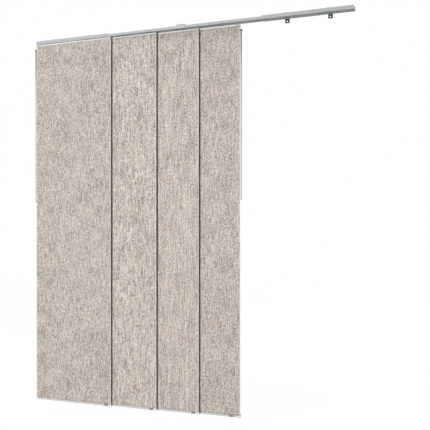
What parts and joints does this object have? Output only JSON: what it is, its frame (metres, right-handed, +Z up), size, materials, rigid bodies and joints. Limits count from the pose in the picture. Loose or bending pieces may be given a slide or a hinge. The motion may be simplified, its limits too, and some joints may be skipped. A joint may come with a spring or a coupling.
{
  "type": "panel track blind",
  "caption": "Panel track blind with flat woven fabric panels that slide past each other in a telescopic multi-channel wall track.",
  "frame": {"origin": "on the wall, midway between the screw holes of the two left wall brackets", "axes": "+X along the track from left to right, +Y into the wall, +Z up"},
  "size_m": [2.192, 0.0602, 2.4716],
  "materials": {
    "rail": "satin light grey coat",
    "cap": "fine moulded",
    "support": "satin light grey coat",
    "bracket": "satin dark navy coat",
    "hardware": "zinc plated",
    "moulding": "fine moulded",
    "hang_rail": "satin white coat",
    "plug": "fine moulded",
    "tape": "hook and loop pile",
    "fabric": "slubbed plain weave",
    "bottom_bar": "satin light grey coat",
    "shoe": "fine moulded",
    "clip": "fine moulded"
  },
  "bodies": {
    "left_rail": {"outer_rail_left": "rail", "end_cap_left": "cap", "wall_bracket_left_1": "bracket", "wall_bracket_left_2": "bracket", "clamp_plates_left": "hardware", "clamp_screws_left": "hardware"},
    "inner_rail": {"inner_channel_1": "rail", "inner_channel_2": "rail", "inner_channel_3": "rail", "inner_channel_4": "rail", "centre_support": "support", "channel_bridge": "moulding", "bridge_screws": "hardware"},
    "right_rail": {"outer_rail_right": "rail", "end_cap_right": "cap", "wall_bracket_right_1": "bracket", "wall_bracket_right_2": "bracket", "clamp_plates_right": "hardware", "clamp_screws_right": "hardware"},
    "panel_1": {"runners_1": "moulding", "hang_rail_1": "hang_rail", "rail_plugs_1": "plug", "hook_tape_1": "tape", "loop_tape_1": "tape", "fabric_1": "fabric", "bottom_bar_1": "bottom_bar", "end_shoes_1": "shoe", "stop_clip_1": "clip"},
    "panel_2": {"runners_2": "moulding", "hang_rail_2": "hang_rail", "rail_plugs_2": "plug", "hook_tape_2": "tape", "loop_tape_2": "tape", "fabric_2": "fabric", "bottom_bar_2": "bottom_bar", "end_shoes_2": "shoe", "stop_clip_2": "clip"},
    "panel_3": {"runners_3": "moulding", "hang_rail_3": "hang_rail", "rail_plugs_3": "plug", "hook_tape_3": "tape", "loop_tape_3": "tape", "fabric_3": "fabric", "bottom_bar_3": "bottom_bar", "end_shoes_3": "shoe", "stop_clip_3": "clip"},
    "panel_4": {"runners_4": "moulding", "hang_rail_4": "hang_rail", "rail_plugs_4": "plug", "hook_tape_4": "tape", "loop_tape_4": "tape", "fabric_4": "fabric", "bottom_bar_4": "bottom_bar", "end_shoes_4": "shoe", "stop_clip_4": "clip"}
  },
  "joints": [
    {"name": "inner_slide", "type": "slide", "parent": "left_rail", "child": "inner_rail", "axis": [1, 0, 0], "range_m": [-0.492, 0]},
    {"name": "right_slide", "type": "slide", "parent": "inner_rail", "child": "right_rail", "axis": [1, 0, 0], "range_m": [-0.492, 0]},
    {"name": "panel_1_slide", "type": "slide", "parent": "left_rail", "child": "panel_1", "axis": [1, 0, 0], "range_m": [0, 1.6]},
    {"name": "panel_2_slide", "type": "slide", "parent": "left_rail", "child": "panel_2", "axis": [1, 0, 0], "range_m": [-0.326, 1.274]},
    {"name": "panel_3_slide", "type": "slide", "parent": "left_rail", "child": "panel_3", "axis": [1, 0, 0], "range_m": [-0.617, 0.983]},
    {"name": "panel_4_slide", "type": "slide", "parent": "left_rail", "child": "panel_4", "axis": [1, 0, 0], "range_m": [-0.89, 0.71]}
  ]
}
